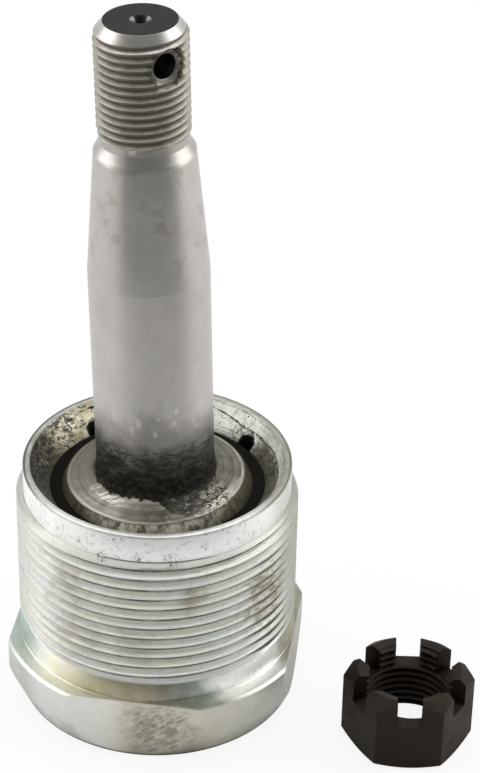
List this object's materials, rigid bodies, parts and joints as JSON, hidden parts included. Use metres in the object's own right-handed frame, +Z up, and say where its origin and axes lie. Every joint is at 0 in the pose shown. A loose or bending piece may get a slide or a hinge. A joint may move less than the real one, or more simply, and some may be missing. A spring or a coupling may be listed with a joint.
{
  "type": "suspension ball joint",
  "caption": "Screw-in suspension ball joint: threaded housing with a wrench flange, a long tapered stud that tilts on its ball, and a loose slotted nut.",
  "frame": {"origin": "on the housing's axis in the plane that the housing stands on, at the open end of the wrench flange", "axes": "+Z up the housing's axis towards its mouth and the stud; -Y towards the side with the loose nut's near flat; +X towards the loose nut"},
  "size_m": [0.0846, 0.0567, 0.1333],
  "materials": {
    "zinc_plate": "bright zinc plate over turned steel, faintly iridescent",
    "ground_steel": "ground and turned bare steel, oiled",
    "black_race": "moulded low-friction polymer",
    "spring_steel": "phosphated spring steel",
    "black_rubber": "nitrile rubber",
    "black_oxide": "black oxide on forged steel"
  },
  "bodies": {
    "housing": {"housing": "zinc_plate", "upper_race": "black_race", "thrust_washer": "spring_steel", "disc_spring_lower": "spring_steel", "disc_spring_upper": "spring_steel", "end_cap": "zinc_plate", "cap_o_ring": "black_rubber", "cap_lock_screws": "black_oxide", "grease_plug": "zinc_plate"},
    "swivel": {"lower_race": "black_race"},
    "stud": {"ball_stud": "ground_steel"},
    "nut": {"castle_nut": "black_oxide"}
  },
  "joints": [
    {"name": "stud_swivel", "type": "hinge", "parent": "housing", "child": "swivel", "pos_m": [0, 0, 0.0343], "axis": [0, 0, 1], "continuous": true},
    {"name": "stud_tilt", "type": "hinge", "parent": "swivel", "child": "stud", "pos_m": [0, 0, 0.0343], "axis": [0, 1, 0], "range_deg": [-26.4, 29.6]},
    {"name": "nut_lift", "type": "slide", "parent": "housing", "child": "nut", "axis": [0, 0, 1], "range_m": [0, 0.15]}
  ]
}
